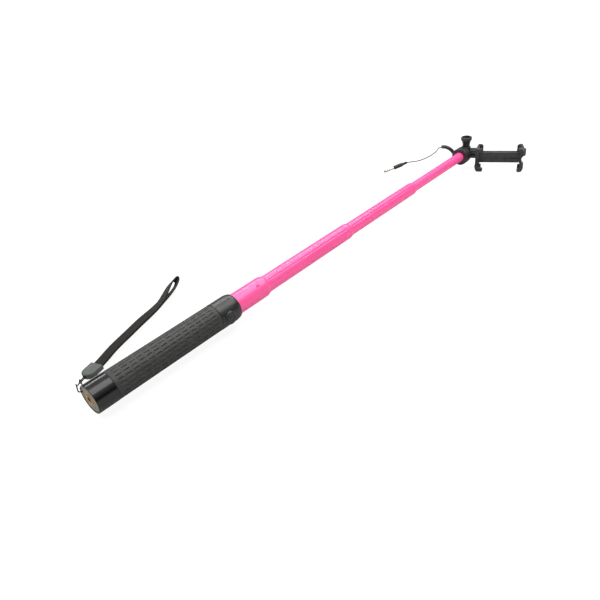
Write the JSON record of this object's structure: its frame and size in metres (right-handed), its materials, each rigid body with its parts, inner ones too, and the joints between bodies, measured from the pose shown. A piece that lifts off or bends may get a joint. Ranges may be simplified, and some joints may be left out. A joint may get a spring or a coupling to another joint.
{
  "type": "selfie stick",
  "caption": "Extending wired selfie stick with ribbed handle, shutter button, telescoping tubes, tilting spring phone clamp, audio plug lead and wrist strap.",
  "frame": {"origin": "centre of the butt face, at the mouth of the tripod socket", "axes": "+X along the stick towards the head, +Z along the tilt hinge towards its knob, shutter button faces -Y"},
  "size_m": [0.6206, 0.1875, 0.0415],
  "materials": {
    "cap_black": "gloss",
    "plug_grey": "matte",
    "insert_brass": "turned",
    "inner_plastic": "natural",
    "grip_rubber": "matte with fine raised ribs",
    "collar_black": "satin",
    "board_green": "solder mask",
    "spring_steel": "plated",
    "button_black": "satin",
    "cord_black": "matte",
    "tube_pink": "glossy paint",
    "head_black": "satin",
    "plug_metal": "plated",
    "insulator_black": "gloss",
    "pad_rubber": "matte",
    "cord_fabric": "braided",
    "buckle_grey": "satin",
    "webbing_black": "woven"
  },
  "bodies": {
    "handle": {"end_cap": "cap_black", "butt_plug": "plug_grey", "tripod_insert": "insert_brass", "handle_sleeve": "inner_plastic", "rubber_grip": "grip_rubber", "front_collar": "collar_black", "trim_ring": "collar_black", "switch_board": "board_green", "dome_switch": "spring_steel", "board_lead": "cord_black", "outer_tube": "tube_pink", "coil_cord_handle": "cord_black", "strap_cord": "cord_fabric"},
    "shutter_button": {"shutter_button": "button_black"},
    "second_tube": {"second_tube": "tube_pink", "second_tube_bush": "inner_plastic", "coil_cord_second": "cord_black"},
    "third_tube": {"third_tube": "tube_pink", "third_tube_bush": "inner_plastic", "coil_cord_third": "cord_black"},
    "inner_tube": {"inner_tube": "tube_pink", "inner_tube_bush": "inner_plastic", "coil_cord_inner": "cord_black", "head_hub": "head_black", "hub_screw": "spring_steel", "tilt_nut": "spring_steel", "strain_relief": "cord_black", "plug_lead": "cord_black", "plug_body": "cord_black", "jack_contacts": "plug_metal", "jack_insulators": "insulator_black"},
    "tilt_knob": {"tilt_knob": "head_black", "tilt_bolt": "spring_steel", "tilt_washer": "spring_steel"},
    "phone_clamp": {"clamp_body": "head_black", "clamp_cover": "head_black", "cover_screws": "spring_steel", "fixed_jaw_pads": "pad_rubber", "jaw_springs": "spring_steel"},
    "sliding_jaw": {"moving_jaw": "head_black", "moving_jaw_pads": "pad_rubber"},
    "wrist_strap": {"strap_buckle": "buckle_grey", "wrist_strap": "webbing_black"}
  },
  "joints": [
    {"name": "shutter_press", "type": "slide", "parent": "handle", "child": "shutter_button", "axis": [0, 1, 0], "range_m": [0, 0.0005]},
    {"name": "second_tube_slide", "type": "slide", "parent": "handle", "child": "second_tube", "axis": [1, 0, 0], "range_m": [-0.132, 0], "deforming": ["coil_cord_handle"]},
    {"name": "third_tube_slide", "type": "slide", "parent": "second_tube", "child": "third_tube", "axis": [1, 0, 0], "range_m": [-0.129, 0], "deforming": ["coil_cord_second"]},
    {"name": "inner_tube_slide", "type": "slide", "parent": "third_tube", "child": "inner_tube", "axis": [1, 0, 0], "range_m": [-0.115, 0], "deforming": ["coil_cord_third"]},
    {"name": "clamp_tilt", "type": "hinge", "parent": "inner_tube", "child": "phone_clamp", "pos_m": [0.592, 0, 0], "axis": [0, 0, 1], "range_deg": [-22.5, 157.5]},
    {"name": "knob_turn", "type": "hinge", "parent": "inner_tube", "child": "tilt_knob", "pos_m": [0.592, 0, 0], "axis": [0, 0, 1], "range_deg": [0, 360]},
    {"name": "jaw_slide", "type": "slide", "parent": "phone_clamp", "child": "sliding_jaw", "axis": [0.3827, -0.9239, 0], "range_m": [0, 0.032], "deforming": ["jaw_springs"]},
    {"name": "strap_swing", "type": "hinge", "parent": "handle", "child": "wrist_strap", "pos_m": [0.0035, 0.0119, 0.0056], "axis": [0, 0, 1], "range_deg": [-20, 100], "deforming": ["strap_cord"]}
  ]
}
